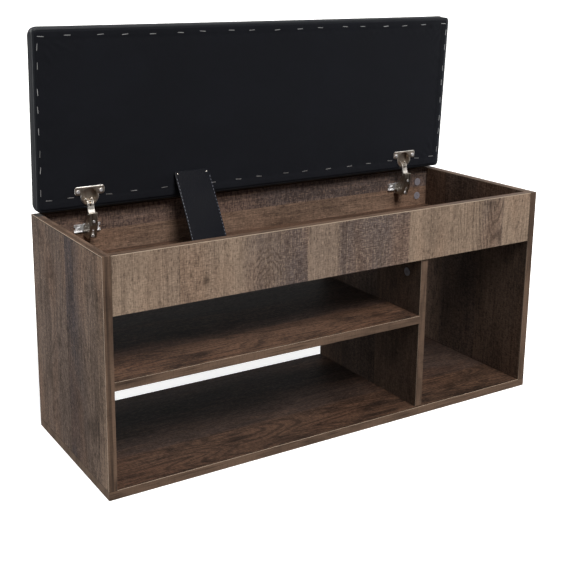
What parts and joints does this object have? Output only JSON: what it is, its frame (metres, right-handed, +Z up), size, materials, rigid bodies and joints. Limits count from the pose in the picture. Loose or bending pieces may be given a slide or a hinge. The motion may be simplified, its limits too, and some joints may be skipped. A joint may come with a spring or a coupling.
{
  "type": "flip-top shoe bench",
  "caption": "Wood-print entryway shoe bench with open cubbies and a storage compartment under a padded black flip-up seat lid on concealed cup hinges with a stay strap.",
  "frame": {"origin": "centre of the base panel's underside, on the floor", "axes": "+Z up, +X to the bench's right seen from the front, front towards -Y; millimetres in the source"},
  "size_m": [1, 0.3557, 0.8002],
  "materials": {
    "wood_laminate": "matt melamine foil with a saw-cut rustic wood print",
    "edge_band": "matt edge band with a wood print",
    "chipboard": "raw board",
    "beech": "raw turned beech",
    "foam": "open-cell foam",
    "black_leatherette": "semi-matt embossed leatherette",
    "black_lining": "matt backing cloth",
    "staple_steel": "bright drawn wire",
    "nickel_steel": "bright nickel plate",
    "zinc": "zinc plate",
    "grey_plastic": "moulded"
  },
  "bodies": {
    "carcass": {"apron_rail": "wood_laminate", "apron_top_band": "edge_band", "arm_adjusting_screws": "nickel_steel", "arm_link_pins": "nickel_steel", "back_rail": "wood_laminate", "back_rail_top_band": "edge_band", "base_edge_band": "edge_band", "base_panel": "wood_laminate", "base_screws": "zinc", "cam_bolts": "zinc", "cam_cover_caps": "grey_plastic", "cam_lock_discs": "zinc", "compartment_floor": "wood_laminate", "divider_edge_band": "edge_band", "divider_panel": "wood_laminate", "joint_dowels": "beech", "left_hinge_arm": "nickel_steel", "left_mounting_plate": "nickel_steel", "left_side_edge_bands": "edge_band", "left_side_panel": "wood_laminate", "middle_shelf": "wood_laminate", "mounting_plate_screws": "nickel_steel", "right_hinge_arm": "nickel_steel", "right_mounting_plate": "nickel_steel", "right_side_edge_bands": "edge_band", "right_side_panel": "wood_laminate", "shelf_edge_band": "edge_band", "stay_strap": "black_leatherette", "strap_foot_tab": "black_leatherette", "strap_screws": "zinc"},
    "outer_links": {"left_outer_link": "nickel_steel", "right_outer_link": "nickel_steel"},
    "inner_links": {"left_inner_link": "nickel_steel", "right_inner_link": "nickel_steel"},
    "lid": {"lid_board": "chipboard", "foam_pad": "foam", "seat_cover": "black_leatherette", "underside_lining": "black_lining", "lining_staples": "staple_steel", "left_hinge_cup": "nickel_steel", "right_hinge_cup": "nickel_steel", "hinge_cup_screws": "nickel_steel", "cup_link_pins": "nickel_steel"}
  },
  "joints": [
    {"name": "outer_link_swing", "type": "hinge", "parent": "carcass", "child": "outer_links", "pos_m": [0, 0.129, 0.438], "axis": [-1, 0, 0], "range_deg": [0, 41.51]},
    {"name": "lid_fold", "type": "hinge", "parent": "outer_links", "child": "lid", "pos_m": [0, 0.14326, 0.46598], "axis": [1, 0, 0], "range_deg": [0, 129.01], "deforming": ["stay_strap"]},
    {"name": "inner_link_swing", "type": "hinge", "parent": "lid", "child": "inner_links", "pos_m": [0, 0.14095, 0.46174], "axis": [-1, 0, 0], "range_deg": [0, 122.11]}
  ],
  "couplings": [
    {"joint": "outer_link_swing", "follows": "lid_fold", "ratio": 0.32174},
    {"joint": "inner_link_swing", "follows": "lid_fold", "ratio": 0.94651}
  ]
}
